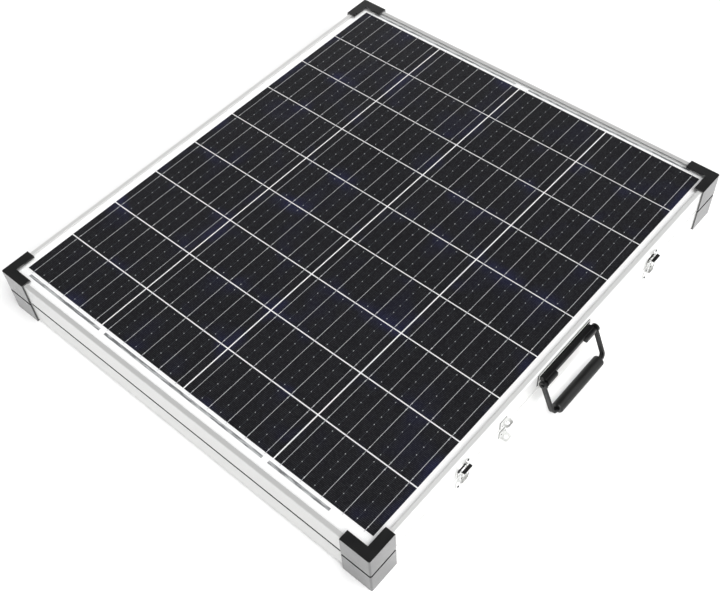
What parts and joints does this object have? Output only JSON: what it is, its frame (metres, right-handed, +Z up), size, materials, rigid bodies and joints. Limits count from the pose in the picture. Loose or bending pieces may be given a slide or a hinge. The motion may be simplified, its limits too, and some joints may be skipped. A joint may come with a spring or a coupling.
{
  "type": "folding solar panel",
  "caption": "Portable solar panel folded shut like a suitcase: aluminium-framed glass modules hinged back to back, with corner guards, draw latches, a carry handle and stand legs inside.",
  "frame": {"origin": "on the ground under the centre of the closed case's bounding box", "axes": "+X along the case's long side, to the right seen from the handle side; +Y from the handle side to the hinge side; +Z up, out of the upper module's glass"},
  "size_m": [0.785, 0.7249, 0.08],
  "materials": {
    "anodised_aluminium": "satin anodised",
    "black_plastic": "fine grained moulding",
    "bright_steel": "bright plated",
    "black_coated_steel": "satin black coating",
    "black_rubber": "matte",
    "glass": "clear, low iron, lightly textured",
    "cells": "near-black silicon with silver lines, laminated",
    "white_backsheet": "matte white film"
  },
  "bodies": {
    "lower_half": {"lower_rail_front": "anodised_aluminium", "lower_rail_rear": "anodised_aluminium", "lower_rail_left": "anodised_aluminium", "lower_rail_right": "anodised_aluminium", "lower_guard_front_left": "black_plastic", "lower_guard_front_right": "black_plastic", "lower_guard_rear_left": "black_plastic", "lower_guard_rear_right": "black_plastic", "lower_glass": "glass", "lower_cells": "cells", "lower_backsheet": "white_backsheet", "lower_junction_box": "black_plastic", "lower_junction_lid": "black_plastic", "lower_brace": "anodised_aluminium", "lower_padlock_eye": "bright_steel", "lower_hinge_leaf_left": "bright_steel", "lower_hinge_leaf_right": "bright_steel", "hinge_pin_left": "bright_steel", "hinge_pin_right": "bright_steel", "latch_catch_left": "bright_steel", "latch_catch_right": "bright_steel", "pad_front_left": "black_rubber", "pad_front_right": "black_rubber", "pad_rear_left": "black_rubber", "pad_rear_right": "black_rubber"},
    "upper_half": {"upper_rail_front": "anodised_aluminium", "upper_rail_rear": "anodised_aluminium", "upper_rail_left": "anodised_aluminium", "upper_rail_right": "anodised_aluminium", "upper_guard_front_left": "black_plastic", "upper_guard_front_right": "black_plastic", "upper_guard_rear_left": "black_plastic", "upper_guard_rear_right": "black_plastic", "upper_glass": "glass", "upper_cells": "cells", "upper_backsheet": "white_backsheet", "upper_junction_box": "black_plastic", "upper_junction_lid": "black_plastic", "upper_brace": "anodised_aluminium", "upper_padlock_eye": "bright_steel", "upper_hinge_leaf_left": "bright_steel", "upper_hinge_leaf_right": "bright_steel", "handle_plate": "anodised_aluminium", "handle_base": "black_coated_steel", "latch_base_left": "bright_steel", "latch_base_right": "bright_steel"},
    "handle": {"handle_bail": "black_coated_steel", "handle_grip": "black_rubber"},
    "latch_lever_left": {"latch_lever_left": "bright_steel"},
    "latch_lever_right": {"latch_lever_right": "bright_steel"},
    "latch_claw_left": {"latch_claw_left": "bright_steel"},
    "latch_claw_right": {"latch_claw_right": "bright_steel"},
    "upper_leg": {"upper_leg_arm_front": "anodised_aluminium", "upper_leg_arm_rear": "anodised_aluminium", "upper_leg_bar": "anodised_aluminium"},
    "lower_leg": {"lower_leg_arm_front": "anodised_aluminium", "lower_leg_arm_rear": "anodised_aluminium", "lower_leg_bar": "anodised_aluminium"}
  },
  "joints": [
    {"name": "case_fold", "type": "hinge", "parent": "lower_half", "child": "upper_half", "pos_m": [0, 0.359, 0.04], "axis": [-1, 0, 0], "range_deg": [0, 180]},
    {"name": "handle_swing", "type": "hinge", "parent": "upper_half", "child": "handle", "pos_m": [0, -0.3345, 0.0605], "axis": [-1, 0, 0], "range_deg": [-20, 95]},
    {"name": "latch_lever_left_turn", "type": "hinge", "parent": "upper_half", "child": "latch_lever_left", "pos_m": [-0.216, -0.33, 0.049], "axis": [1, 0, 0], "range_deg": [0, 150]},
    {"name": "latch_lever_right_turn", "type": "hinge", "parent": "upper_half", "child": "latch_lever_right", "pos_m": [0.216, -0.33, 0.049], "axis": [1, 0, 0], "range_deg": [0, 150]},
    {"name": "latch_claw_left_turn", "type": "hinge", "parent": "latch_lever_left", "child": "latch_claw_left", "pos_m": [-0.216, -0.3288, 0.054], "axis": [1, 0, 0], "range_deg": [-150, 0]},
    {"name": "latch_claw_right_turn", "type": "hinge", "parent": "latch_lever_right", "child": "latch_claw_right", "pos_m": [0.216, -0.3288, 0.054], "axis": [1, 0, 0], "range_deg": [-150, 0]},
    {"name": "upper_leg_swing", "type": "hinge", "parent": "upper_half", "child": "upper_leg", "pos_m": [0.205, 0.015, 0.052], "axis": [0, -1, 0], "range_deg": [0, 45]},
    {"name": "lower_leg_swing", "type": "hinge", "parent": "lower_half", "child": "lower_leg", "pos_m": [0.205, 0.015, 0.028], "axis": [0, 1, 0], "range_deg": [0, 45]}
  ],
  "couplings": [
    {"joint": "latch_claw_left_turn", "follows": "latch_lever_left_turn", "ratio": -1},
    {"joint": "latch_claw_right_turn", "follows": "latch_lever_right_turn", "ratio": -1},
    {"joint": "upper_leg_swing", "follows": "case_fold", "ratio": 0.25},
    {"joint": "lower_leg_swing", "follows": "case_fold", "ratio": 0.25}
  ]
}
